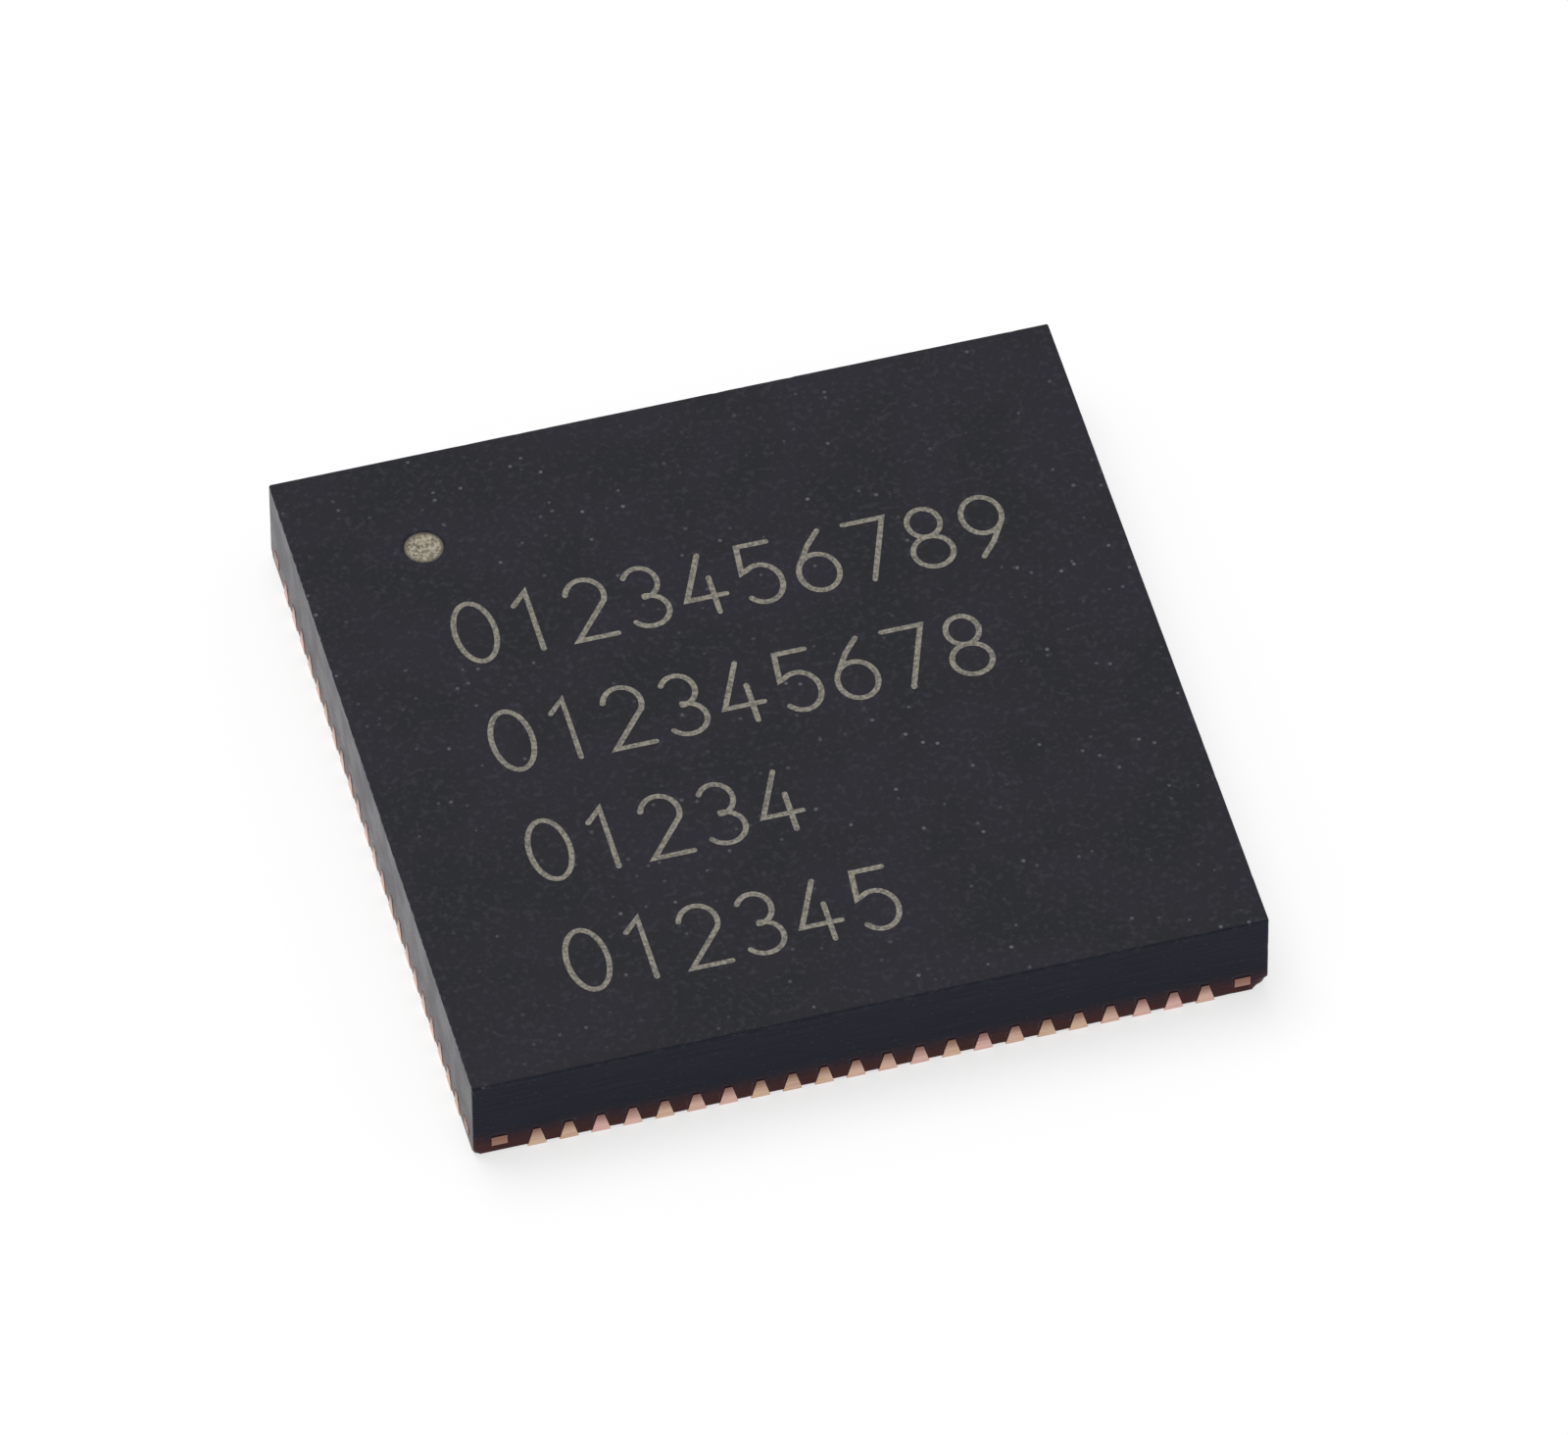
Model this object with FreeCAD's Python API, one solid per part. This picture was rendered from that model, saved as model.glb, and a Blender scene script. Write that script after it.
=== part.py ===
import FreeCAD, Part
import math
import os
from FreeCAD import Vector

os.makedirs("parts", exist_ok=True)

# A square no-lead integrated circuit package, sawn from a moulded strip. Millimetres.
# Z is up from the seating plane, X runs along the front edge and the pin-1 mark lies towards -X and +Y.
# Sawn body
body_side = 10.0
body_top = 1.30
standoff = 0.02
corner_bevel = 0.05
top_edge_break = 0.03

# Laser-cut pin-1 mark in the top face, placed from the two edges beside it
pin_mark_diameter = 0.50
pin_mark_depth = 0.02
pin_mark_from_left = 1.60
pin_mark_from_back = 1.50

# Etched copper lead frame: full thickness where it is soldered, half etched from below elsewhere
frame_thickness = 0.30
etched_thickness = 0.15

# Leads: a soldered foot with sloping flanks, and a half-etched tongue that carries the bond
lead_pitch = 0.40
foot_length = 0.40
foot_width = 0.24
foot_crest_width = 0.09
tongue_tip_width = 0.18
lead_reach = 1.15
tongue_lean = 0.07
lead_clearance = 0.20

# Die paddle: the exposed pad, its half-etched lip, and the diagonal tie bars with forked ends
paddle_clearance = 0.36
paddle_lip = 0.12
paddle_chamfer = 0.35
tie_bar_width = 0.20
tie_bar_clearance = 0.10
tie_prong_width = 0.20
tie_prong_inset = 0.332

# Logic die on its epoxy, and the memory die on its film
logic_die_margin = 0.57
logic_die_thickness = 0.30
epoxy_thickness = 0.025
epoxy_squeeze_out = 0.06
memory_die_margin_x = 1.00
memory_die_margin_y = 1.30
memory_die_thickness = 0.20
film_thickness = 0.02

# Bond wires, drawn with a square section of the same area as a 0.025 mm round gold wire
wire_thickness = 0.022
bond_pad_inset = 0.08
bond_row_end = 0.26
stitch_setback = 0.12
signal_loop_rise = 0.14
signal_loop_shoulder = 0.42
ground_loop_rise = 0.09
ground_bond_reach = 0.36
ground_loop_shoulder = 0.35
memory_loop_rise = 0.08
memory_loop_shoulder = 0.35
memory_bond_reach = 0.35
memory_bonds_per_side = 10
memory_row_end = 0.15
loop_droop = 0.02

# Sizes that follow from the ones above
half_side = body_side / 2
etched_floor = frame_thickness - etched_thickness
tongue_tip_depth = half_side - lead_reach
paddle_lip_half = tongue_tip_depth - paddle_clearance
paddle_half = paddle_lip_half - paddle_lip
prong_place = half_side - tie_prong_inset
last_lead_limit = prong_place - tie_prong_width / 2 - lead_clearance - foot_width / 2
leads_per_side = 1 + int(2 * last_lead_limit / lead_pitch)
last_lead_place = lead_pitch * (leads_per_side - 1) / 2
logic_die_half = paddle_half - logic_die_margin
logic_die_floor = frame_thickness + epoxy_thickness
logic_die_top = logic_die_floor + logic_die_thickness
memory_die_half_x = logic_die_half - memory_die_margin_x
memory_die_half_y = logic_die_half - memory_die_margin_y
memory_die_floor = logic_die_top + film_thickness
memory_die_top = memory_die_floor + memory_die_thickness
bond_row_place = logic_die_half - bond_pad_inset
side_turns = {"front": 0, "right": 90, "back": 180, "left": 270}


def block(half_x, half_y, floor, top):
    """A centred rectangular block between two heights."""
    corner = Vector(-half_x, -half_y, floor)
    return Part.makeBox(2 * half_x, 2 * half_y, top - floor, corner)


def plate(outline, floor, top):
    """A flat plate with the given outline, between two heights."""
    points = [Vector(x, y, floor) for x, y in outline]
    face = Part.Face(Part.makePolygon(points + points[:1]))
    return face.extrude(Vector(0, 0, top - floor))


def turned(shape, angle):
    """A copy turned about the middle of the package."""
    copy = shape.copy()
    copy.rotate(Vector(0, 0, 0), Vector(0, 0, 1), angle)
    return copy


def spread(count, half_length):
    """Evenly spaced places along a side, centred on its middle."""
    step = 2 * half_length / (count - 1)
    return [index * step - half_length for index in range(count)]


def clear_of_tie_bar(place, outer_half_width):
    """How far from the middle a piece at this place must end to clear the diagonal tie bar."""
    room = tie_bar_width / math.sqrt(2) + tie_bar_clearance * math.sqrt(2)
    return abs(place) + outer_half_width + room


def foot_nose(place):
    """Where the foot ends on the front side: at its length, or sooner beside a tie bar."""
    return -max(half_side - foot_length, clear_of_tie_bar(place, foot_width / 2))


def tongue_tip(place):
    """The end of one tongue on the front side, leaning in towards the middle of the side."""
    tip_place = place * (1 - tongue_lean)
    tip_depth = max(tongue_tip_depth, clear_of_tie_bar(tip_place, tongue_tip_width / 2))
    return tip_place, -tip_depth


def lead_foot(place):
    """The soldered foot, whose flanks slope from the wide sole to the narrow crest."""
    sole = foot_width / 2
    crest = foot_crest_width / 2
    section = [(-sole, 0), (sole, 0), (crest, frame_thickness), (-crest, frame_thickness)]
    points = [Vector(place + across, -half_side, height) for across, height in section]
    face = Part.Face(Part.makePolygon(points + points[:1]))
    return face.extrude(Vector(0, half_side + foot_nose(place), 0))


def lead_tongue(place):
    """The half-etched tongue: it leaves the foot as narrow as the crest and widens to its tip."""
    tip_place, tip_depth = tongue_tip(place)
    root_depth = foot_nose(place)
    root_half = foot_crest_width / 2
    tip_half = tongue_tip_width / 2
    outline = [
        (place - root_half, root_depth),
        (place + root_half, root_depth),
        (tip_place + tip_half, tip_depth),
        (tip_place - tip_half, tip_depth),
    ]
    return plate(outline, etched_floor, frame_thickness)


def lead_row():
    """All the leads of the front side, each a solid of its own."""
    places = spread(leads_per_side, last_lead_place)
    return [lead_foot(place).fuse(lead_tongue(place)).removeSplitter() for place in places]


def tie_bar():
    """One half-etched diagonal tie bar, forked into two prongs that the saw cuts flush."""
    reach = prong_place * math.sqrt(2)
    bar = block(reach / 2, tie_bar_width / 2, etched_floor, frame_thickness)
    bar.translate(Vector(reach / 2, 0, 0))
    bar = turned(bar, 45)
    half = tie_prong_width / 2
    inner = prong_place - half
    outer = prong_place + half
    fork = [
        (inner, inner),
        (half_side, inner),
        (half_side, outer),
        (outer, outer),
        (outer, half_side),
        (inner, half_side),
    ]
    return bar.fuse(plate(fork, etched_floor, frame_thickness))


def die_paddle():
    """The exposed pad with its pin-1 chamfer, the half-etched lip round it and the four tie bars."""
    pad_outline = [
        (-paddle_half, -paddle_half),
        (paddle_half, -paddle_half),
        (paddle_half, paddle_half),
        (-paddle_half + paddle_chamfer, paddle_half),
        (-paddle_half, paddle_half - paddle_chamfer),
    ]
    pad = plate(pad_outline, 0, frame_thickness)
    lip = block(paddle_lip_half, paddle_lip_half, etched_floor, frame_thickness)
    bars = [turned(tie_bar(), angle) for angle in side_turns.values()]
    return pad.fuse([lip] + bars).removeSplitter()


def crossing(point_a, way_a, point_b, way_b):
    """Where two lines of a vertical plane meet."""
    scale = way_a[0] * way_b[1] - way_a[1] * way_b[0]
    gap = (point_b[0] - point_a[0], point_b[1] - point_a[1])
    share = (gap[0] * way_b[1] - gap[1] * way_b[0]) / scale
    return (point_a[0] + share * way_a[0], point_a[1] + share * way_a[1])


def ribbon(path, side):
    """One edge of a bent wire: the path moved sideways by half a thickness, cut level at both ends."""
    level = (1, 0)
    edge = []
    last_start = path[0]
    last_way = level
    for start, end in zip(path, path[1:]):
        length = math.dist(start, end)
        way = ((end[0] - start[0]) / length, (end[1] - start[1]) / length)
        shift = side * wire_thickness / 2
        moved = (start[0] - way[1] * shift, start[1] + way[0] * shift)
        edge.append(crossing(last_start, last_way, moved, way))
        last_start = moved
        last_way = way
    edge.append(crossing(last_start, last_way, path[-1], level))
    return edge


def bond_wire(start, end, rise, shoulder):
    """A looped wire: straight up from the first bond, over a shoulder and down to the second."""
    span = Vector(end.x - start.x, end.y - start.y, 0)
    along = Vector(span).normalize()
    across = Vector(-along.y, along.x, 0)
    loop_top = start.z + rise
    path = [
        (0, start.z),
        (0, loop_top),
        (shoulder * span.Length, loop_top - loop_droop),
        (span.Length, end.z),
    ]
    outline = ribbon(path, 1) + ribbon(path, -1)[::-1]
    base = Vector(start.x, start.y, 0) - across * (wire_thickness / 2)
    points = [base + along * forward + Vector(0, 0, height) for forward, height in outline]
    face = Part.Face(Part.makePolygon(points + points[:1]))
    return face.extrude(across * wire_thickness)


def signal_bonds():
    """Both ends of each signal wire of the front side: its die pad and its stitch on a tongue."""
    pads = spread(leads_per_side, logic_die_half - bond_row_end)
    places = spread(leads_per_side, last_lead_place)
    bonds = []
    for pad, place in zip(pads, places):
        tip_place, tip_depth = tongue_tip(place)
        share = stitch_setback / (tip_depth - foot_nose(place))
        stitch = Vector(
            tip_place + share * (place - tip_place),
            tip_depth - stitch_setback,
            frame_thickness,
        )
        bonds.append((Vector(pad, -bond_row_place, logic_die_top), stitch))
    return bonds


def signal_wires():
    """The wires from the logic die to the leads of the front side."""
    return [
        bond_wire(pad, stitch, signal_loop_rise, signal_loop_shoulder)
        for pad, stitch in signal_bonds()
    ]


def ground_wires():
    """Short wires of the front side from the logic die down to the rim of the paddle."""
    bonds = signal_bonds()
    wires = []
    for index in (leads_per_side // 4, leads_per_side - 2 - leads_per_side // 4):
        pads = (bonds[index][0] + bonds[index + 1][0]) * 0.5
        stitches = (bonds[index][1] + bonds[index + 1][1]) * 0.5
        depth = logic_die_half + ground_bond_reach
        share = (depth - bond_row_place) / (-stitches.y - bond_row_place)
        end = Vector(pads.x + share * (stitches.x - pads.x), -depth, frame_thickness)
        wires.append(bond_wire(pads, end, ground_loop_rise, ground_loop_shoulder))
    return wires


def memory_wires():
    """Wires from the right edge of the memory die down to the logic die below it."""
    wires = []
    for place in spread(memory_bonds_per_side, memory_die_half_y - memory_row_end):
        start = Vector(memory_die_half_x - bond_pad_inset, place, memory_die_top)
        end = Vector(memory_die_half_x + memory_bond_reach, place, logic_die_top)
        wires.append(bond_wire(start, end, memory_loop_rise, memory_loop_shoulder))
    return wires


def die_stack():
    """The two dies and what glues them down."""
    epoxy_half = logic_die_half + epoxy_squeeze_out
    return {
        "logic_die_epoxy": [block(epoxy_half, epoxy_half, frame_thickness, logic_die_floor)],
        "logic_die": [block(logic_die_half, logic_die_half, logic_die_floor, logic_die_top)],
        "memory_die_film": [block(memory_die_half_x, memory_die_half_y, logic_die_top, memory_die_floor)],
        "memory_die": [block(memory_die_half_x, memory_die_half_y, memory_die_floor, memory_die_top)],
    }


def embedded_pieces():
    """Everything that the moulding compound flows round, by node."""
    pieces = {"die_paddle": [die_paddle()]}
    for side, angle in side_turns.items():
        pieces["leads_" + side] = [turned(lead, angle) for lead in lead_row()]
    pieces.update(die_stack())
    for side, angle in side_turns.items():
        pieces["signal_wires_" + side] = [turned(wire, angle) for wire in signal_wires()]
    pieces["ground_wires"] = [turned(wire, angle) for angle in side_turns.values() for wire in ground_wires()]
    pieces["memory_wires"] = [turned(wire, angle) for angle in (0, 180) for wire in memory_wires()]
    return pieces


def mould_body(pieces):
    """The epoxy body: a sawn block, moulded tight round all that it holds, with the pin-1 mark on top."""
    body = block(half_side, half_side, standoff, body_top)
    upright = [edge for edge in body.Edges if edge.BoundBox.ZLength > edge.BoundBox.DiagonalLength / 2]
    body = body.makeChamfer(corner_bevel, upright)
    rim = [edge for edge in body.Edges if edge.BoundBox.ZMin > body_top - top_edge_break]
    body = body.makeChamfer(top_edge_break, rim)
    mark_centre = Vector(
        pin_mark_from_left - half_side,
        half_side - pin_mark_from_back,
        body_top - pin_mark_depth,
    )
    mark = Part.makeCylinder(pin_mark_diameter / 2, pin_mark_depth, mark_centre)
    tools = [mark]
    for solids in pieces.values():
        tools.extend(solids)
    return body.cut(tools)


def write_node(name, solids):
    """One STEP file for one node, which may hold several separate solids."""
    shape = solids[0] if len(solids) == 1 else Part.makeCompound(solids)
    shape.exportStep("parts/" + name + ".step")
    print(name, "solids", len(shape.Solids), "volume", round(shape.Volume, 4), "valid", shape.isValid())


held = embedded_pieces()
write_node("mould_body", [mould_body(held)])
for node, solids in held.items():
    write_node(node, solids)
print("leads per side", leads_per_side)
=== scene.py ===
# %% [markdown]
# # A no-lead chip package, dressed for a close view
#
# The part is a sawn block of dark moulding compound, ten millimetres square. Copper leads end flush in its
# four sides, and a laser has burnt a round pin-1 mark and some digits into its top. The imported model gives
# every piece its place and size. This script gives the pieces their surfaces.

# %% Load the frame
import math
import random

import bmesh
import bpy
from mathutils import Matrix, Vector, geometry, noise


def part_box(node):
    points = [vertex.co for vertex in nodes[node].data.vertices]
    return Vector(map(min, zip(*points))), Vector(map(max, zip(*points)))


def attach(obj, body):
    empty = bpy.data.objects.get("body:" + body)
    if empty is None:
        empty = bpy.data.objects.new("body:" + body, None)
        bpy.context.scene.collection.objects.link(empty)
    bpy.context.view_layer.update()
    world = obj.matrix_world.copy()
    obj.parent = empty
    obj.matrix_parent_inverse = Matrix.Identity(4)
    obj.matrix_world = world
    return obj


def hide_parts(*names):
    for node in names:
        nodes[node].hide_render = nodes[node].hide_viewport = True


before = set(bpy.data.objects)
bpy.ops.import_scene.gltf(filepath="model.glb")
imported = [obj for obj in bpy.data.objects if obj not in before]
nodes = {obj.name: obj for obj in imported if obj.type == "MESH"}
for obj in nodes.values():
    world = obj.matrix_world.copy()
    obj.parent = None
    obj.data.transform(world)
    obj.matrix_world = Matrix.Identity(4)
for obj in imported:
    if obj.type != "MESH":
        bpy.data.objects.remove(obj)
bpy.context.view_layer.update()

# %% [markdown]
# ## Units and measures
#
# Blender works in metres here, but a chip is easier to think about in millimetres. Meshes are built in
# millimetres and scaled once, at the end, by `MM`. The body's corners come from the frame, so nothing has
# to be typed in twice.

MM = 0.001
body_low, body_high = (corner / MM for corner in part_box("mould_body"))
half_side = body_high.x
top_height = body_high.z
underside = body_low.z
print(f"body {2 * half_side:.2f} mm square, underside at {underside:.3f}, top at {top_height:.3f}")


def finished_mesh(name, mesh, body="root"):
    """Links a mesh made in millimetres as a piece that rides on a body of the model."""
    mesh.transform(Matrix.Scale(MM, 4))
    piece = bpy.data.objects.new(name, mesh)
    bpy.context.scene.collection.objects.link(piece)
    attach(piece, body)
    print(f"{name}: {len(mesh.vertices)} points, {len(mesh.polygons)} faces")
    return piece


# %% [markdown]
# ## Writing shader maths as plain expressions
#
# A finish is a small graph of nodes. Wiring each Math node by hand hides the idea, so `Socket` wraps one
# output and turns `a * b + c` into the nodes that compute it. `Graph` makes every other node: its `add`
# takes the node's type, its settings and what goes into its sockets. The floor and the world use it too.

# %% A socket that does arithmetic
class Socket:
    """One output in a node graph. Arithmetic on it adds Math nodes."""

    def __init__(self, graph, link):
        self.graph = graph
        self.link = link

    def maths(self, operation, first, second=0.0):
        return self.graph.add("ShaderNodeMath", {"operation": operation}, {0: first, 1: second})

    def __add__(self, other):
        return self.maths("ADD", self, other)

    def __sub__(self, other):
        return self.maths("SUBTRACT", self, other)

    def __rsub__(self, other):
        return self.maths("SUBTRACT", other, self)

    def __mul__(self, other):
        return self.maths("MULTIPLY", self, other)

    def __truediv__(self, other):
        return self.maths("DIVIDE", self, other)

    __radd__ = __add__
    __rmul__ = __mul__

    def floor(self):
        return self.maths("FLOOR", self)

    def absolute(self):
        return self.maths("ABSOLUTE", self)

    def wave(self):
        return self.maths("SINE", self)

    def root(self):
        return self.maths("SQRT", self)

    def larger(self, other):
        return self.maths("MAXIMUM", self, other)

    def ramp(self, start, end, low=0.0, high=1.0):
        """Eases from low to high while the number goes from start to end."""
        settings = {"interpolation_type": "SMOOTHSTEP"}
        inputs = {"Value": self, "From Min": start, "From Max": end, "To Min": low, "To Max": high}
        return self.graph.add("ShaderNodeMapRange", settings, inputs)

    def output(self, name):
        """Another output of the same node."""
        return Socket(self.graph, self.link.node.outputs[name])


# %% A node tree that is written as expressions
class Graph:
    """Makes nodes and links in one tree."""

    def __init__(self, tree):
        self.tree = tree
        tree.nodes.clear()

    def add(self, kind, settings=None, inputs=None, output=0):
        node = self.tree.nodes.new(kind)
        for name, value in (settings or {}).items():
            setattr(node, name, value)
        for name, value in (inputs or {}).items():
            self.feed(node.inputs[name], value)
        return Socket(self, node.outputs[output]) if node.outputs else node

    def feed(self, socket, value):
        if isinstance(value, Socket):
            self.tree.links.new(value.link, socket)
        else:
            socket.default_value = value

    def parts(self, vector):
        first = self.add("ShaderNodeSeparateXYZ", None, {0: vector})
        return [first.output(axis) for axis in range(3)]

    def vector(self, operation, first, second):
        return self.add("ShaderNodeVectorMath", {"operation": operation}, {0: first, 1: second})

    def blend(self, share, first, second):
        """Mixes two colours by a share from 0 to 1."""
        return self.add("ShaderNodeMix", {"data_type": "RGBA"}, {0: share, 6: first, 7: second}, 2)


# %% A material in millimetres
class Finish(Graph):
    """One material: its node tree, its shader and the place on the part in millimetres."""

    def __init__(self, name):
        self.material = bpy.data.materials.new(name)
        self.material.use_nodes = True
        super().__init__(self.material.node_tree)
        surface = self.add("ShaderNodeBsdfPrincipled")
        self.shader = surface.link.node
        self.add("ShaderNodeOutputMaterial", None, {0: surface})
        where = self.add("ShaderNodeTexCoord", output="Object")
        self.place = self.vector("MULTIPLY", where, (1 / MM, 1 / MM, 1 / MM))
        self.x, self.y, self.z = self.parts(self.place)

    def mottle(self, size, detail=3.0, roughness=0.55, place=None):
        """Soft noise whose lumps are about size millimetres across, around 0.5."""
        inputs = {"Vector": place or self.place, "Scale": 1 / size, "Detail": detail, "Roughness": roughness}
        return self.add("ShaderNodeTexNoise", None, inputs)

    def beads(self, spacing, place=None):
        """Scattered centres: the distance to the nearest in spacings, and a number of its own."""
        inputs = {"Vector": place or self.place, "Scale": 1 / spacing}
        distance = self.add("ShaderNodeTexVoronoi", None, inputs)
        return distance, self.parts(distance.output("Color"))[0]

    def streaks(self, length, height):
        """Noise drawn out along the side of the body: lumps of this length and height in millimetres."""
        inputs = {0: (self.x + self.y) / length, 1: self.z / height}
        return self.mottle(1.0, 3.0, 0.6, self.add("ShaderNodeCombineXYZ", None, inputs))

    def relief(self, height, depth):
        """A bump of the given depth in millimetres where height goes from 0 to 1."""
        inputs = {"Height": height, "Distance": depth * MM}
        self.feed(self.shader.inputs["Normal"], self.add("ShaderNodeBump", None, inputs))

    def set(self, **values):
        for name, value in values.items():
            self.feed(self.shader.inputs[name.replace("_", " ")], value)


def srgb(red, green, blue):
    """A colour as a picture shows it, from 0 to 255, as the linear colour that a shader takes."""
    shares = [channel / 255 for channel in (red, green, blue)]
    linear = [s / 12.92 if s <= 0.04045 else ((s + 0.055) / 1.055) ** 2.4 for s in shares]
    return (*linear, 1.0)


# %% [markdown]
# ## Moulding compound, as it leaves the mould
#
# The top of a chip is epoxy packed with fine silica, pressed against a spark-eroded steel mould. It is a
# dark neutral grey with a very fine matt grain and, here and there, a filler bead that catches the light.
# Noises of different size give the cloudy tone and the grain, and Voronoi cells give the sparse beads,
# whose glint is a painted highlight: a pale grey in their colour.

# %% The moulded finish
def moulded_finish():
    finish = Finish("moulded_compound")
    flat = finish.vector("MULTIPLY", finish.place, (1, 1, 0))
    cloud = finish.mottle(1.3, 2.0)
    crowd = finish.mottle(1.9, 1.0).ramp(0.36, 0.62, 0.25, 1.0)
    fleck = finish.mottle(0.085, 3.0, 0.65)
    grain = finish.mottle(0.022, 2.0, 0.6)
    distance, own_number = finish.beads(0.17, flat)
    bead_glint = (1 - distance.ramp(0.06, 0.21)) * own_number.ramp(0.55, 1.0)
    tone = finish.blend(cloud.ramp(0.35, 0.65), srgb(30, 31, 36), srgb(35, 34, 42))
    tone = finish.blend(fleck.ramp(0.47, 0.72, 0.0, 0.7), tone, srgb(56, 56, 64))
    # painted highlight: the filler beads are painted pale grey as the glint of the light they catch
    tone = finish.blend(bead_glint * crowd, tone, srgb(102, 102, 110))
    finish.set(Base_Color=tone, Roughness=fleck.ramp(0.3, 0.7, 0.52, 0.66), Specular_IOR_Level=0.10)
    finish.relief(grain * 0.6 + fleck * 1.2 + bead_glint * 0.3, 0.0045)
    return finish.material


# %% [markdown]
# ## Moulding compound, as the saw leaves it
#
# The four sides are cut by a diamond wheel after moulding. The wheel leaves fine streaks along the side,
# cuts through the silica beads so that they show as tiny discs, nicks the upper edge, and drags a little
# copper from the lead ends over the resin beside them. The nicks are painted pale as a painted highlight,
# fully along the upper edge on the left and faintly elsewhere. The streaks are noise stretched along the
# side, and the dragged copper is a warm tint that fades above the lead frame.

# %% The sawn finish
SAW_LINE_LENGTH = 1.1
SAW_LINE_HEIGHT = 0.03
frame_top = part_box("leads_front")[1].z / MM


def sawn_finish():
    finish = Finish("sawn_compound")
    streak = finish.streaks(SAW_LINE_LENGTH, SAW_LINE_HEIGHT)
    patch = finish.mottle(0.6, 2.0)
    fleck = finish.mottle(0.07, 2.0, 0.6)
    distance, own_number = finish.beads(0.075)
    cut_bead = (1 - distance.ramp(0.16, 0.30)) * own_number.ramp(0.55, 1.0)
    edge = 1 - (top_height - finish.z).ramp(0.02, 0.15)
    # painted highlight: the nicks on the upper edge are painted pale, fully on the left side where the edge
    # catches the light and faintly elsewhere; their dents are real chips
    highlit_left_side = (finish.x * -1.0).ramp(half_side - 0.2, half_side - 0.1, 0.12, 1.0)
    nick_and_highlight = edge * highlit_left_side * finish.mottle(0.10, 3.0, 0.65).ramp(0.48, 0.64)
    drag = 1 - (finish.z + (fleck - 0.5) * 0.18).ramp(frame_top * 0.2, frame_top * 1.5)
    drag = drag * streak.ramp(0.3, 0.6, 0.7, 1.0)
    tone = finish.blend(streak.ramp(0.3, 0.7), srgb(23, 26, 40), srgb(31, 34, 50))
    tone = finish.blend(cut_bead * 0.45, tone, srgb(62, 65, 76))
    tone = finish.blend(drag, tone, srgb(86, 44, 42))
    tone = finish.blend(nick_and_highlight, tone, srgb(104, 99, 100))
    roughness = streak.ramp(0.3, 0.7, 0.23, 0.28) + patch.ramp(0.35, 0.65, 0.0, 0.07)
    finish.set(Base_Color=tone, Roughness=roughness, Specular_IOR_Level=0.09)
    finish.relief(streak * 0.7 + fleck * 0.3 + cut_bead * 0.25 - nick_and_highlight * 0.8, 0.003)
    return finish.material


moulded = moulded_finish()
sawn = sawn_finish()

# %% [markdown]
# ## The body as a solid with real edges
#
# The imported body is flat-faced. A real one has slightly soft edges with small chips from the saw, lower
# corners that handling has blunted, and a top that waves by a few thousandths of a millimetre. A box lattice
# with close rows near the edges is pulled in to a rounded box, and then a little further in by noise. It
# never grows, so the body keeps its size, and the copper ends stand a few thousandths proud of the resin, as
# sawn copper does.

# %% Lattice rows, close together near the edges
EDGE_ROWS = (0.0, 0.006, 0.014, 0.024, 0.038, 0.058, 0.090, 0.140, 0.210)
ROW_SPACING = 0.068


def rows(low, high):
    """Places from low to high, close near both ends and evenly spaced between."""
    start = low + EDGE_ROWS[-1]
    end = high - EDGE_ROWS[-1]
    count = max(2, round((end - start) / ROW_SPACING))
    middle = [start + (end - start) * step / count for step in range(1, count)]
    return [low + row for row in EDGE_ROWS] + middle + [high - row for row in reversed(EDGE_ROWS)]


# %% How far the skin lies inside the sharp box at a point
EDGE_RADIUS = 0.034
CORNER_WEAR = 0.07
WORN_CORNER_WEAR = 0.15
CHIP_SIZE = 0.16
CHIP_DEPTH = 0.022
CHIP_START = 0.62
SIDE_SINK = 0.0035
TOP_SINK = 0.0010
WAVE_HEIGHT, WAVE_SIZE = 0.0026, 0.55
GRAIN_HEIGHT, GRAIN_SIZE = 0.0016, 0.12
WAVE_SHIFT = Vector((7, 3, 1))
body_middle = Vector((0, 0, (underside + top_height) / 2))
body_reach = Vector((half_side, half_side, (top_height - underside) / 2))


def lumps(point, size):
    """Smooth noise from 0 to 1 with lumps of the given size."""
    return 0.5 + 0.5 * max(-1.0, min(1.0, noise.noise(point / size)))


def skin_point(point):
    """Where a point of the sharp box lies on the worn, softly edged body."""
    from_middle = point - body_middle
    wear = WORN_CORNER_WEAR if from_middle.x > 0 > from_middle.y else CORNER_WEAR
    chip = max(0.0, lumps(point, CHIP_SIZE) - CHIP_START) / (1 - CHIP_START)
    radius = EDGE_RADIUS + CHIP_DEPTH * chip
    at_corner = all(abs(axis) > reach - wear for axis, reach in zip(from_middle, body_reach))
    if at_corner and from_middle.z < 0:
        radius = wear
    core = Vector([
        max(radius - reach, min(reach - radius, axis))
        for axis, reach in zip(from_middle, body_reach)
    ])
    outward = (from_middle - core).normalized()
    sink = SIDE_SINK if abs(outward.z) < 0.5 else TOP_SINK
    sink += WAVE_HEIGHT * lumps(point + WAVE_SHIFT, WAVE_SIZE)
    sink += GRAIN_HEIGHT * lumps(point, GRAIN_SIZE)
    return body_middle + core + outward * (radius - sink)


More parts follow.
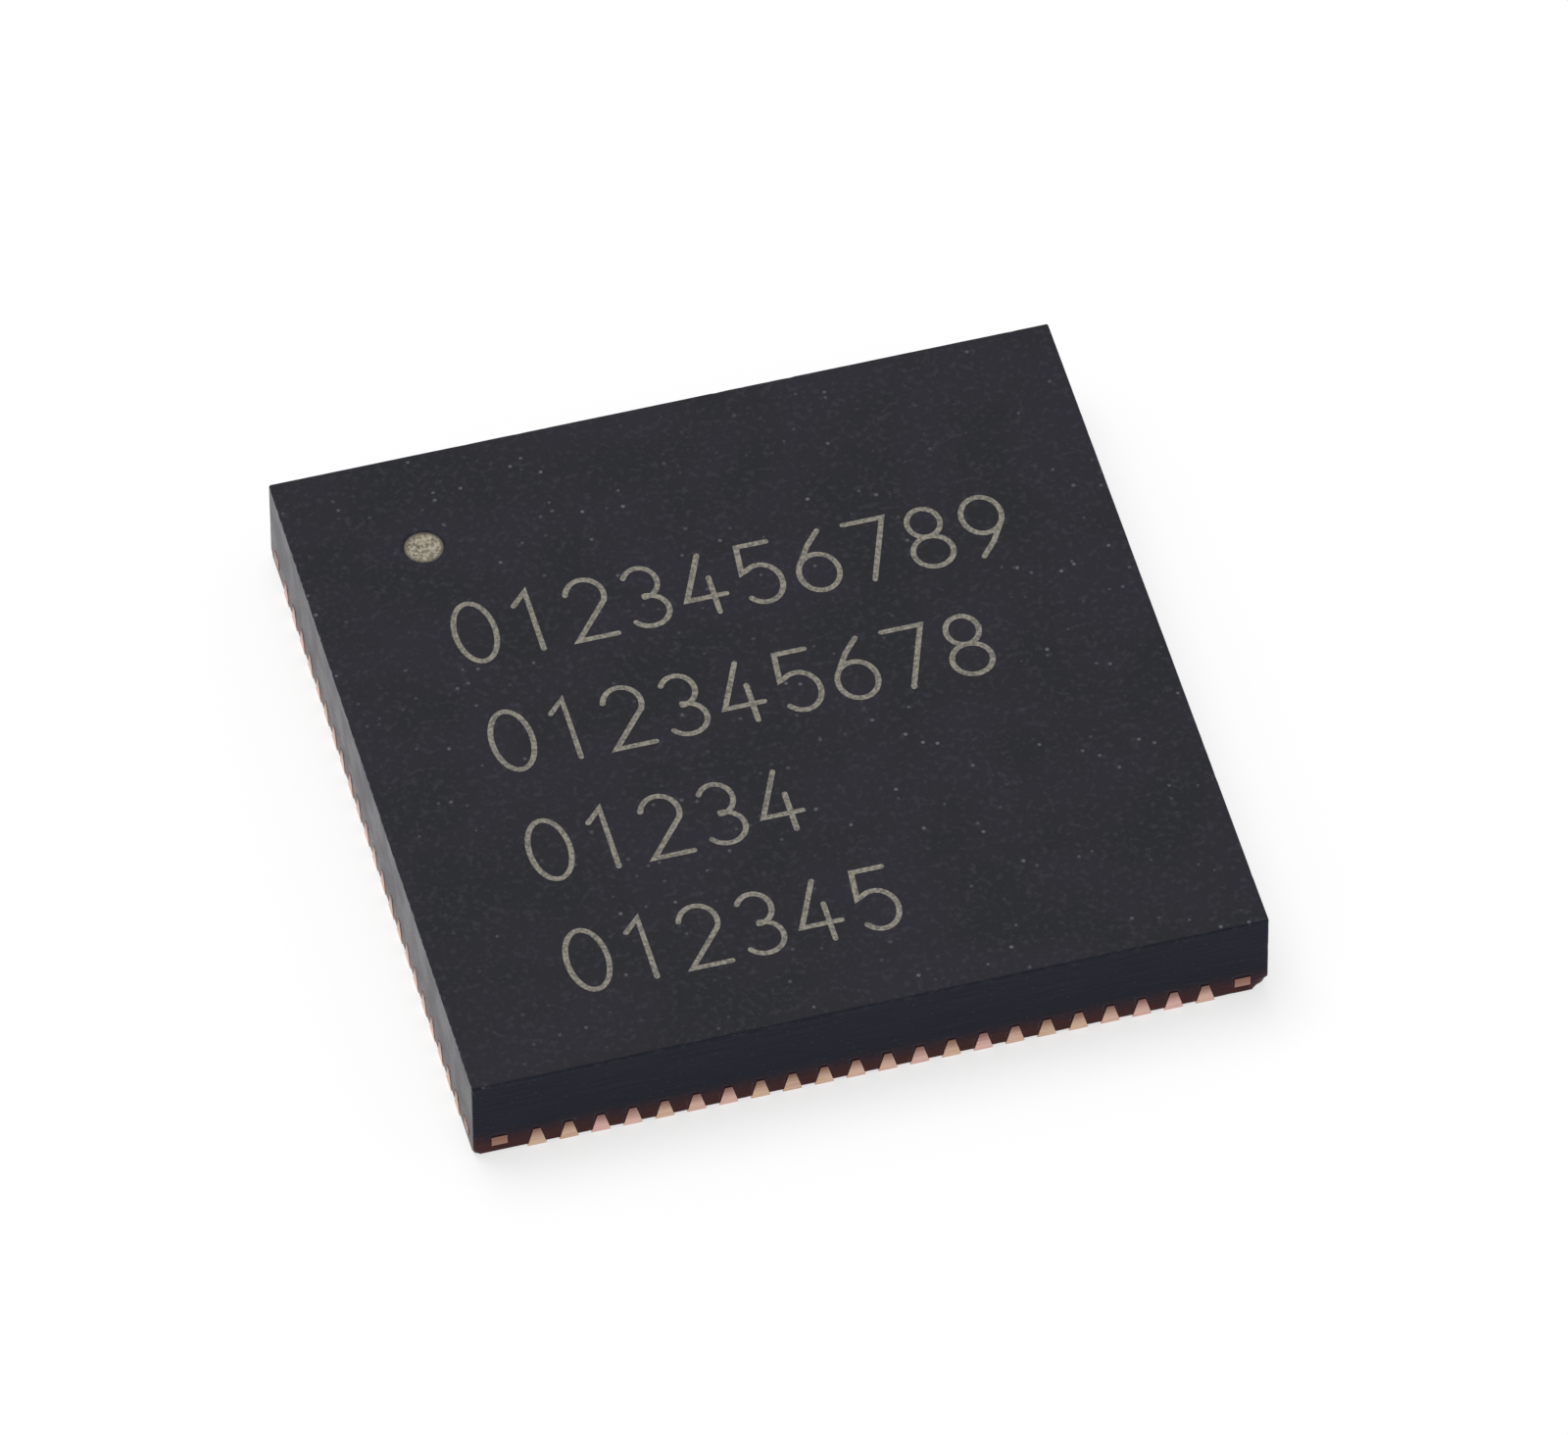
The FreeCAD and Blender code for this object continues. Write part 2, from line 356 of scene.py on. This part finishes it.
# %% Weave the lattice into a closed skin
def body_skin():
    """A closed mesh over the six sides of the body, in millimetres."""
    axes = [rows(-half_side, half_side), rows(-half_side, half_side), rows(underside, top_height)]
    last = [len(axis) - 1 for axis in axes]
    skin = bmesh.new()
    corners = {}

    def corner(index):
        if index not in corners:
            point = Vector([axis[step] for axis, step in zip(axes, index)])
            corners[index] = skin.verts.new(skin_point(point))
        return corners[index]

    for fixed in range(3):
        first, second = (fixed + 1) % 3, (fixed + 2) % 3
        for side in (0, last[fixed]):
            for a in range(last[first]):
                for b in range(last[second]):
                    ring = []
                    for step_a, step_b in ((a, b), (a + 1, b), (a + 1, b + 1), (a, b + 1)):
                        index = [0, 0, 0]
                        index[fixed], index[first], index[second] = side, step_a, step_b
                        ring.append(corner(tuple(index)))
                    if side == 0:
                        ring.reverse()
                    skin.faces.new(ring)
    mesh = bpy.data.meshes.new("moulded_body")
    skin.to_mesh(mesh)
    skin.free()
    return mesh


# %% [markdown]
# ## Room for what the resin flowed round
#
# The leads, the paddle, the dies and the wires were there first, and the compound filled the space round
# them. A Boolean with each of those nodes leaves the same hollows in the dressed body. The pin-1 mark is a
# shallow round recess, cut the same way.

# %% Cut the hollows and the pin-1 recess
PIN_MARK_RADIUS = 0.25
PIN_MARK_DEPTH = 0.02
PIN_MARK_CENTRE = Vector((-3.40, 3.50, top_height))
PIN_MARK_SIDES = 96
WELD_DISTANCE = 0.0002


def cutter_from_node(name):
    """A welded copy of a node's mesh, in millimetres, to cut with."""
    copy = bmesh.new()
    copy.from_mesh(nodes[name].data)
    copy.transform(Matrix.Scale(1 / MM, 4))
    bmesh.ops.remove_doubles(copy, verts=copy.verts, dist=WELD_DISTANCE)
    bmesh.ops.recalc_face_normals(copy, faces=copy.faces)
    mesh = bpy.data.meshes.new("cutter")
    copy.to_mesh(mesh)
    copy.free()
    return mesh


def pin_mark_cutter():
    """A short round bar that stands out of the top where the pin-1 mark is."""
    bar = bmesh.new()
    bmesh.ops.create_cone(
        bar,
        cap_ends=True,
        segments=PIN_MARK_SIDES,
        radius1=PIN_MARK_RADIUS,
        radius2=PIN_MARK_RADIUS,
        depth=2 * PIN_MARK_DEPTH,
    )
    bar.transform(Matrix.Translation(PIN_MARK_CENTRE))
    mesh = bpy.data.meshes.new("cutter")
    bar.to_mesh(mesh)
    bar.free()
    return mesh


def carved(mesh, cutters):
    """The mesh with each cutter taken out of it."""
    block = bpy.data.objects.new("carved", mesh)
    bpy.context.scene.collection.objects.link(block)
    tools = []
    for cutter in cutters:
        tool = bpy.data.objects.new("cutter", cutter)
        bpy.context.scene.collection.objects.link(tool)
        tools.append(tool)
        boolean = block.modifiers.new("hollow", "BOOLEAN")
        boolean.operation = "DIFFERENCE"
        boolean.solver = "MANIFOLD"
        boolean.object = tool
    graph = bpy.context.evaluated_depsgraph_get()
    result = bpy.data.meshes.new_from_object(block.evaluated_get(graph))
    for spare in [block] + tools:
        bpy.data.objects.remove(spare)
    return result


# %% Carve the body and give its faces their finish
SIDE_SLOPE = 0.75
CREASE_ANGLE = math.radians(50)
embedded = [name for name in nodes if name != "mould_body"]
body_mesh = carved(body_skin(), [cutter_from_node(name) for name in embedded] + [pin_mark_cutter()])
body_mesh.name = "moulded_body"
body_mesh.materials.clear()
body_mesh.materials.append(moulded)
body_mesh.materials.append(sawn)
for face in body_mesh.polygons:
    outside = max(abs(face.center.x), abs(face.center.y)) > half_side - 2 * EDGE_RADIUS
    face.material_index = 1 if outside and abs(face.normal.z) < SIDE_SLOPE else 0
    face.use_smooth = outside or face.center.z > top_height - EDGE_RADIUS
moulded_body = finished_mesh("moulded_body", body_mesh)
moulded_body.data.set_sharp_from_angle(angle=CREASE_ANGLE)
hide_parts("mould_body")

# %% [markdown]
# ## What the laser leaves
#
# A marking laser burns the black resin away and leaves pale silica dust. The result is a warm grey that
# is a little uneven, because each pulse overlaps the last. The round pin-1 mark is filled by a fine hatch
# of such lines. One finish serves both, with the hatch turned on for the mark.

# %% The laser-marked finish
HATCH_ACROSS = (0.8, 0.6)
DIGIT_HATCH = 0.021
SPOT_HATCH = 0.034


def marked_finish(name, pale, dark, hatch_spacing, rim=None):
    finish = Finish(name)
    pulse = finish.mottle(0.045, 2.0, 0.6)
    cloud = finish.mottle(0.16, 2.0)
    across_hatch = finish.x * HATCH_ACROSS[0] + finish.y * HATCH_ACROSS[1]
    hatch = (across_hatch * (2 * math.pi / hatch_spacing)).wave() * 0.5 + 0.5
    wear = pulse * 0.75 + cloud * 0.25
    tone = finish.blend(wear.ramp(0.36, 0.64), dark, pale)
    tone = finish.blend(hatch * 0.22, tone, dark)
    if rim:
        across = finish.x - PIN_MARK_CENTRE.x
        along = finish.y - PIN_MARK_CENTRE.y
        reach = (across * across + along * along).root()
        tone = finish.blend(reach.ramp(PIN_MARK_RADIUS * 0.72, PIN_MARK_RADIUS), tone, rim)
    finish.set(Base_Color=tone, Roughness=0.85, Specular_IOR_Level=0.15)
    finish.relief(pulse * 0.7 + hatch * 0.5, 0.003)
    return finish.material


digit_tones = srgb(156, 151, 138), srgb(104, 102, 97)
spot_tones = srgb(186, 179, 160), srgb(106, 100, 86)
digit_marking = marked_finish("digit_marking", *digit_tones, DIGIT_HATCH)
pin_marking = marked_finish("pin_marking", *spot_tones, SPOT_HATCH, srgb(88, 84, 74))

# %% [markdown]
# ## Digits drawn by one stroke
#
# Laser lettering is a single line, as wide as the beam, moved along lines and arcs. Each digit is therefore
# a few strokes: lists of points from straight runs and arcs, in a box as wide and high as the digit. A
# stroke becomes an outline with round ends. The outlines of one digit are merged with a Delaunay
# triangulation, so crossing strokes make one clean shape.

# %% Strokes of the ten digits
DIGIT_HEIGHT = 0.95
DIGIT_WIDTH = 0.50
STROKE_WIDTH = 0.070
ARC_STEP = math.radians(10)


def arc(centre_x, centre_y, radius_x, radius_y, start, end):
    """Points on an ellipse from one angle to another, in degrees, anticlockwise when end is larger."""
    start, end = math.radians(start), math.radians(end)
    steps = max(2, round(abs(end - start) / ARC_STEP))
    angles = [start + (end - start) * step / steps for step in range(steps + 1)]
    return [(centre_x + radius_x * math.cos(a), centre_y + radius_y * math.sin(a)) for a in angles]


def ring(centre_x, centre_y, radius_x, radius_y):
    """A full ellipse as two overlapping strokes."""
    return [
        arc(centre_x, centre_y, radius_x, radius_y, 80, 280),
        arc(centre_x, centre_y, radius_x, radius_y, 260, 460),
    ]


def digit_strokes():
    """Each digit's strokes in a box of the digit's width and height, with its foot at zero."""
    w, h = DIGIT_WIDTH, DIGIT_HEIGHT
    m = w / 2
    return {
        "0": ring(m, h / 2, m, h / 2),
        "1": [[(m * 0.35, h * 0.80), (m * 1.1, h), (m * 1.1, 0)]],
        "2": [arc(m, h * 0.72, m * 0.95, h * 0.28, 165, -28) + [(0, 0), (w, 0)]],
        "3": [
            arc(m * 0.95, h * 0.745, m * 0.85, h * 0.255, 150, -90),
            arc(m * 0.95, h * 0.26, m, h * 0.26, 90, -145),
        ],
        "4": [[(w * 0.60, h), (0, h * 0.28), (w, h * 0.28)], [(w * 0.70, h * 0.60), (w * 0.70, 0)]],
        "5": [
            [(w * 0.92, h), (w * 0.16, h), (w * 0.08, h * 0.55)]
            + arc(m, h * 0.32, m, h * 0.32, 125, -140),
        ],
        "6": ring(m, h * 0.31, m, h * 0.31) + [
            [(w * 0.78, h), (w * 0.42, h * 0.78)] + arc(m, h * 0.31, m, h * 0.31, 150, 190),
        ],
        "7": [[(0, h), (w, h), (w * 0.32, 0)]],
        "8": ring(m, h * 0.76, m * 0.82, h * 0.24) + ring(m, h * 0.26, m, h * 0.26),
        "9": ring(m, h * 0.69, m, h * 0.31) + [
            [(w * 0.22, 0), (w * 0.58, h * 0.22)] + arc(m, h * 0.69, m, h * 0.31, -30, 10),
        ],
    }


# %% From a stroke to an outline with round ends
END_STEPS = 8
SHARPEST_CORNER = 0.45


def round_end(start, centre):
    """Points on a half circle that turns clockwise from start, without its two ends."""
    spoke = start - centre
    points = []
    for step in range(1, END_STEPS):
        turn = Matrix.Rotation(-math.pi * step / END_STEPS, 2)
        points.append(centre + turn @ spoke)
    return points


def stroke_outline(points, half_width):
    """A closed anticlockwise outline round a line of points, rounded at both ends."""
    points = [Vector(point) for point in points]
    ways = [(after - before).normalized() for before, after in zip(points, points[1:])]
    ways = ways[:1] + ways + ways[-1:]
    left, right = [], []
    for point, way_in, way_out in zip(points, ways, ways[1:]):
        across = (way_in + way_out).normalized().orthogonal()
        straight = way_in.orthogonal()
        offset = across * half_width / max(SHARPEST_CORNER, across.dot(straight))
        left.append(point + offset)
        right.append(point - offset)
    far_end = round_end(left[-1], points[-1])
    near_end = round_end(right[0], points[0])
    return (left + far_end + right[::-1] + near_end)[::-1]


# %% Merge the strokes and give them a thickness
def merged(outlines):
    """Triangles that cover all the outlines once."""
    points = [point for outline in outlines for point in outline]
    loops = []
    first = 0
    for outline in outlines:
        loops.append(list(range(first, first + len(outline))))
        first += len(outline)
    flat, _, triangles, _, _, sources = geometry.delaunay_2d_cdt(points, [], loops, 0, 1e-6)
    return flat, [triangle for triangle, source in zip(triangles, sources) if source]


def slab(shape, flat, triangles, floor, top):
    """Adds a flat-topped closed slab over the triangles."""
    upper = [shape.verts.new((*point, top)) for point in flat]
    lower = [shape.verts.new((*point, floor)) for point in flat]
    open_edges = set()
    for triangle in triangles:
        shape.faces.new([upper[corner] for corner in triangle])
        shape.faces.new([lower[corner] for corner in reversed(triangle)])
        for start, end in zip(triangle, triangle[1:] + triangle[:1]):
            if (end, start) in open_edges:
                open_edges.remove((end, start))
            else:
                open_edges.add((start, end))
    for start, end in sorted(open_edges):
        shape.faces.new([upper[end], upper[start], lower[start], lower[end]])
    loose = [vert for vert in upper + lower if not vert.link_faces]
    bmesh.ops.delete(shape, geom=loose, context="VERTS")


# %% [markdown]
# ## Four lines of plain digits
#
# Chips are marked by laser once they are moulded. This one carries plain counting digits, in four lines
# of one height that start at the same left edge. The digits are slabs about a hundredth of a millimetre
# thick, set into the resin. The width of the beam varies a little from stroke to stroke.

# %% Place the digits
MARKING_LEFT = -3.385
MARKING_FOOT = 1.52
DIGIT_ADVANCE = 0.721
LINE_ADVANCE = 1.80
MARKING_LINES = ("0123456789", "012345678", "01234", "012345")
MARK_FLOOR = top_height - 0.010
MARK_TOP = top_height - 0.0004
BEAM_WOBBLE = 0.0025


def marking_line(digits, foot):
    """One piece that holds a line of digits, each a few merged strokes."""
    strokes = digit_strokes()
    steady = random.Random(digits)
    shape = bmesh.new()
    for place, digit in enumerate(digits):
        corner = Vector((MARKING_LEFT + place * DIGIT_ADVANCE, foot))
        outlines = []
        for stroke in strokes[digit]:
            width = STROKE_WIDTH + steady.uniform(-BEAM_WOBBLE, BEAM_WOBBLE)
            outline = stroke_outline(stroke, width / 2)
            outlines.append([corner + point for point in outline])
        slab(shape, *merged(outlines), MARK_FLOOR, MARK_TOP)
    mesh = bpy.data.meshes.new("marking")
    shape.to_mesh(mesh)
    shape.free()
    mesh.materials.append(digit_marking)
    return mesh


for number, digits in enumerate(MARKING_LINES, start=1):
    foot = MARKING_FOOT - (number - 1) * LINE_ADVANCE
    line = finished_mesh(f"marking_line_{number}", marking_line(digits, foot))

# %% [markdown]
# ## The pin-1 mark
#
# The corner where pin 1 is has a round spot that the laser has filled by hatching. It is a thin disc on the
# floor of the recess, with the hatch lines as low ridges in its mesh.

# %% Fill the recess
SPOT_RINGS = 22
SPOT_CLEARANCE = 0.004
SPOT_THICKNESS = 0.012
SPOT_SUNK = 0.002
RIDGE_HEIGHT = 0.004
RIDGE_GRAIN = 0.03
GRAIN_SHIFT = Vector((1, 2, 3))


def ridged_height(flat):
    """How high the hatched face stands above the underside of the disc at a place."""
    across_hatch = HATCH_ACROSS[0] * flat.x + HATCH_ACROSS[1] * flat.y
    hatch = math.sin(2 * math.pi * across_hatch / SPOT_HATCH)
    rough = lumps(flat + GRAIN_SHIFT, RIDGE_GRAIN)
    return SPOT_THICKNESS - RIDGE_HEIGHT * (0.5 - 0.35 * hatch + 0.5 * rough)


def pin_spot():
    """A thin hatched disc, in millimetres."""
    radius = PIN_MARK_RADIUS - SPOT_CLEARANCE
    base = PIN_MARK_CENTRE - Vector((0, 0, PIN_MARK_DEPTH + SPOT_SUNK))
    shape = bmesh.new()
    centre_top = shape.verts.new(base + Vector((0, 0, SPOT_THICKNESS)))
    centre_low = shape.verts.new(base)
    inner_top = [centre_top] * PIN_MARK_SIDES
    outer_low = []
    for ring_number in range(1, SPOT_RINGS + 1):
        outer_top = []
        for spoke in range(PIN_MARK_SIDES):
            angle = 2 * math.pi * spoke / PIN_MARK_SIDES
            reach = radius * ring_number / SPOT_RINGS
            flat = Vector((reach * math.cos(angle), reach * math.sin(angle), 0))
            height = ridged_height(flat) if ring_number < SPOT_RINGS else SPOT_THICKNESS
            outer_top.append(shape.verts.new(base + flat + Vector((0, 0, height))))
            if ring_number == SPOT_RINGS:
                outer_low.append(shape.verts.new(base + flat))
        for spoke in range(PIN_MARK_SIDES):
            after = (spoke + 1) % PIN_MARK_SIDES
            if ring_number == 1:
                shape.faces.new((centre_top, outer_top[spoke], outer_top[after]))
            else:
                shape.faces.new((inner_top[spoke], outer_top[spoke], outer_top[after], inner_top[after]))
        inner_top = outer_top
    for spoke in range(PIN_MARK_SIDES):
        after = (spoke + 1) % PIN_MARK_SIDES
        shape.faces.new((inner_top[spoke], outer_low[spoke], outer_low[after], inner_top[after]))
        shape.faces.new((outer_low[spoke], centre_low, outer_low[after]))
    mesh = bpy.data.meshes.new("pin_spot")
    shape.to_mesh(mesh)
    shape.free()
    mesh.materials.append(pin_marking)
    return mesh


pin_one_mark = finished_mesh("pin_one_mark", pin_spot())

# %% [markdown]
# ## Copper lead frame
#
# The leads and the paddle are etched copper. Underneath they carry matt tin for soldering. At the sides
# the saw cuts them after plating, so there they show bare pink copper with fine streaks. Each end has a
# slightly different tone because it has tarnished by itself. One finish does all three by looking at
# where a point is: at a sawn side, underneath, or hidden in the resin.

# %% The copper finish
TIN_TOP = 0.016
SAWN_SKIN = 0.002
LEAD_PITCH = 0.40
FIRST_NUMBER = 100.5


def tin_mask(finish):
    """One underneath, where the tin is, and nothing on the sawn ends or inside the resin."""
    low = 1 - finish.z.ramp(TIN_TOP * 0.7, TIN_TOP)
    outermost = finish.x.absolute().larger(finish.y.absolute())
    return low * (1 - outermost.ramp(half_side - 2 * SAWN_SKIN, half_side - SAWN_SKIN))


def copper_finish(name, fresh, warm, dull, stained):
    finish = Finish(name)
    streak = finish.streaks(0.7, 0.017)
    grain = finish.mottle(0.03, 2.0)
    lead_number = ((finish.x + finish.y) / LEAD_PITCH + FIRST_NUMBER).floor()
    own_number = finish.add("ShaderNodeTexWhiteNoise", {"noise_dimensions": "1D"}, {"W": lead_number})
    tin = tin_mask(finish)
    copper = finish.blend(own_number.ramp(0.15, 0.85), fresh, warm)
    copper = finish.blend(streak.ramp(0.40, 0.72, 0.0, 0.5), copper, dull)
    smeared = (finish.z + (grain - 0.5) * 0.05).ramp(frame_top * 0.25, frame_top * 1.05)
    copper = finish.blend(smeared * 0.85, copper, stained)
    matt_tin = finish.blend(grain.ramp(0.3, 0.7), srgb(166, 166, 163), srgb(198, 198, 195))
    finish.set(Base_Color=finish.blend(tin, copper, matt_tin), Metallic=1.0)
    lined = streak * (1 - tin)
    finish.set(Roughness=lined.ramp(0.0, 0.7, 0.25, 0.37) + tin * 0.2)
    finish.relief(lined * 0.8 + grain * 0.5, 0.002)
    return finish.material


# %% Dress the leads and the paddle
def dress(name, material):
    """Gives a node of the frame its finish."""
    node = nodes[name]
    node.data.materials.clear()
    node.data.materials.append(material)


lead_tones = srgb(229, 189, 180), srgb(219, 188, 160), srgb(168, 124, 112), srgb(112, 76, 68)
bar_tones = srgb(184, 142, 126), srgb(176, 138, 118), srgb(138, 100, 86), srgb(136, 98, 84)
lead_copper = copper_finish("lead_copper", *lead_tones)
bar_copper = copper_finish("paddle_copper", *bar_tones)
for side in ("front", "right", "back", "left"):
    dress("leads_" + side, lead_copper)
dress("die_paddle", bar_copper)
print("lead frame dressed")

# %% [markdown]
# ## What the resin hides
#
# The dies, their glue and the gold wires can't be seen until the body is opened. They still get
# honest finishes: polished silicon with a faint floor plan, silver-filled epoxy and drawn gold.

# %% Dies, glue and wires
TRACK_SPACING = 0.012
FLAKE_SIZE = 0.012


def silicon_finish(name, block_size):
    finish = Finish(name)
    inputs = {"Vector": finish.place, "Scale": 1 / block_size}
    blocks = finish.add("ShaderNodeTexVoronoi", {"distance": "CHEBYCHEV"}, inputs, "Color")
    block_number = finish.parts(blocks)[0]
    track = (finish.x * (2 * math.pi / TRACK_SPACING)).wave() * 0.5 + 0.5
    sheen = finish.mottle(0.5, 2.0)
    tone = finish.blend(block_number, srgb(74, 72, 88), srgb(118, 112, 124))
    tone = finish.blend(track * 0.25 + sheen * 0.2, tone, srgb(150, 132, 118))
    finish.set(Base_Color=tone, Metallic=0.35, Roughness=0.18)
    finish.relief(block_number * 0.5 + track * 0.3, 0.001)
    return finish.material


def glue_finish():
    finish = Finish("silver_epoxy")
    flake_number = finish.beads(FLAKE_SIZE)[1]
    tone = finish.blend(flake_number, srgb(120, 118, 114), srgb(196, 194, 190))
    finish.set(Base_Color=tone, Metallic=0.4, Roughness=flake_number.ramp(0, 1, 0.35, 0.6))
    finish.relief(flake_number, 0.001)
    return finish.material


def gold_finish():
    finish = Finish("drawn_gold")
    grain = finish.mottle(0.015, 2.0)
    tone = finish.blend(grain.ramp(0.3, 0.7), srgb(226, 178, 84), srgb(250, 212, 128))
    finish.set(Base_Color=tone, Metallic=1.0, Roughness=grain.ramp(0.3, 0.7, 0.18, 0.3))
    finish.relief(grain, 0.0005)
    return finish.material


glue, gold = glue_finish(), gold_finish()
dress("logic_die", silicon_finish("logic_silicon", 0.9))
dress("memory_die", silicon_finish("memory_silicon", 0.45))
for name in ("logic_die_epoxy", "memory_die_film"):
    dress(name, glue)
for name in nodes:
    if "wires" in name:
        dress(name, gold)
print("inner pieces dressed")

# %% [markdown]
# ## A white table
#
# Product pictures of chips are taken on white. The floor is a pale sheet. To the camera and to glossy
# rays it adds some light of its own, so that it comes out white while the chip's soft shadow still shows.
# To diffuse rays it is plain pale paper.

# %% What the camera sees is lit differently from what lights the chip
def seen_directly(graph):
    """One for rays from the camera and for those that mirror or pass through something."""
    camera_ray = graph.add("ShaderNodeLightPath", output="Is Camera Ray")
    mirrored = camera_ray.larger(camera_ray.output("Is Glossy Ray"))
    return mirrored.larger(camera_ray.output("Is Transmission Ray"))


def grey(level):
    return (level, level, level, 1.0)


# %% The floor
FLOOR_HALF = 1.5
FLOOR_DROP = 0.000002
PAPER_LEVEL = 0.75
SHADED_LEVEL = 0.35
GLOW_LEVEL = 0.68


def paper_finish():
    material = bpy.data.materials.new("white_table")
    material.use_nodes = True
    graph = Graph(material.node_tree)
    paper = graph.add("ShaderNodeBsdfDiffuse", None, {"Color": grey(PAPER_LEVEL)})
    shaded = graph.add("ShaderNodeBsdfDiffuse", None, {"Color": grey(SHADED_LEVEL)})
    glow = graph.add("ShaderNodeEmission", None, {"Color": grey(GLOW_LEVEL)})
    lit = graph.add("ShaderNodeAddShader", None, {0: shaded, 1: glow})
    choice = graph.add("ShaderNodeMixShader", None, {0: seen_directly(graph), 1: paper, 2: lit})
    graph.add("ShaderNodeOutputMaterial", None, {0: choice})
    return material


def white_floor():
    mesh = bpy.data.meshes.new("white_table")
    corners = [(-1, -1), (1, -1), (1, 1), (-1, 1)]
    points = [(x * FLOOR_HALF, y * FLOOR_HALF, -FLOOR_DROP) for x, y in corners]
    mesh.from_pydata(points, [], [(0, 1, 2, 3)])
    mesh.materials.append(paper_finish())
    floor = bpy.data.objects.new("white_table", mesh)
    bpy.context.scene.collection.objects.link(floor)


white_floor()

# %% The world
SKY_LEVEL = 0.45


def white_world():
    world = bpy.data.worlds.new("studio")
    bpy.context.scene.world = world
    world.use_nodes = True
    graph = Graph(world.node_tree)
    soft = graph.add("ShaderNodeBackground", None, {"Color": grey(1.0), "Strength": SKY_LEVEL})
    white = graph.add("ShaderNodeBackground", None, {"Color": grey(1.0), "Strength": 1.0})
    choice = graph.add("ShaderNodeMixShader", None, {0: seen_directly(graph), 1: soft, 2: white})
    graph.add("ShaderNodeOutputWorld", None, {0: choice})


white_world()

# %% [markdown]
# ## Soft light from above
#
# One wide lamp high up behind the chip lights the top, and the world fills the rest evenly. Together
# they light a flat white sheet to about one, so that a colour renders about as it is written.

# %% The lamp
LAMP_PLACE = Vector((-0.10, 0.22, 0.60))
LAMP_SIDE = 0.45
LAMP_POWER = 2.6


def soft_lamp():
    data = bpy.data.lights.new("overhead_softbox", "AREA")
    data.shape = "SQUARE"
    data.size = LAMP_SIDE
    data.energy = LAMP_POWER
    lamp = bpy.data.objects.new("overhead_softbox", data)
    bpy.context.scene.collection.objects.link(lamp)
    lamp.location = LAMP_PLACE
    lamp.rotation_euler = (-LAMP_PLACE).to_track_quat("-Z", "Y").to_euler()


soft_lamp()

# %% [markdown]
# ## The camera
#
# The photograph looks down at the front left corner from far away through a long lens. Its direction,
# distance and lens were found by fitting the block's edges. The camera stands on that line, turned by the
# small roll of the picture, and moved a little sideways to frame the chip as it is framed there.

# %% Stand the camera where the photograph was taken
AZIMUTH = math.radians(-14.71)
ELEVATION = math.radians(49.80)
ROLL = math.radians(-0.535)
DISTANCE = 255.5
SIDEWAYS = 0.233
UPWARDS = 0.627
SENSOR_WIDTH = 36.0
LENS = 477.65


def place_camera():
    back = Vector((
        math.sin(AZIMUTH) * math.cos(ELEVATION),
        -math.cos(AZIMUTH) * math.cos(ELEVATION),
        math.sin(ELEVATION),
    ))
    level_right = Vector((math.cos(AZIMUTH), math.sin(AZIMUTH), 0))
    level_up = back.cross(level_right)
    right = level_right * math.cos(ROLL) + level_up * math.sin(ROLL)
    up = level_up * math.cos(ROLL) - level_right * math.sin(ROLL)
    data = bpy.data.cameras.new("camera")
    data.sensor_fit = "HORIZONTAL"
    data.sensor_width = SENSOR_WIDTH
    data.lens = LENS
    data.clip_start = 0.01
    data.clip_end = 10.0
    camera = bpy.data.objects.new("camera", data)
    bpy.context.scene.collection.objects.link(camera)
    turn = Matrix((right, up, back)).transposed().to_4x4()
    place = (back * DISTANCE + right * SIDEWAYS + up * UPWARDS) * MM
    camera.matrix_world = Matrix.Translation(place) @ turn
    bpy.context.scene.camera = camera
    print("camera at", [round(axis, 4) for axis in place])


place_camera()
bpy.context.scene.view_settings.view_transform = "Standard"
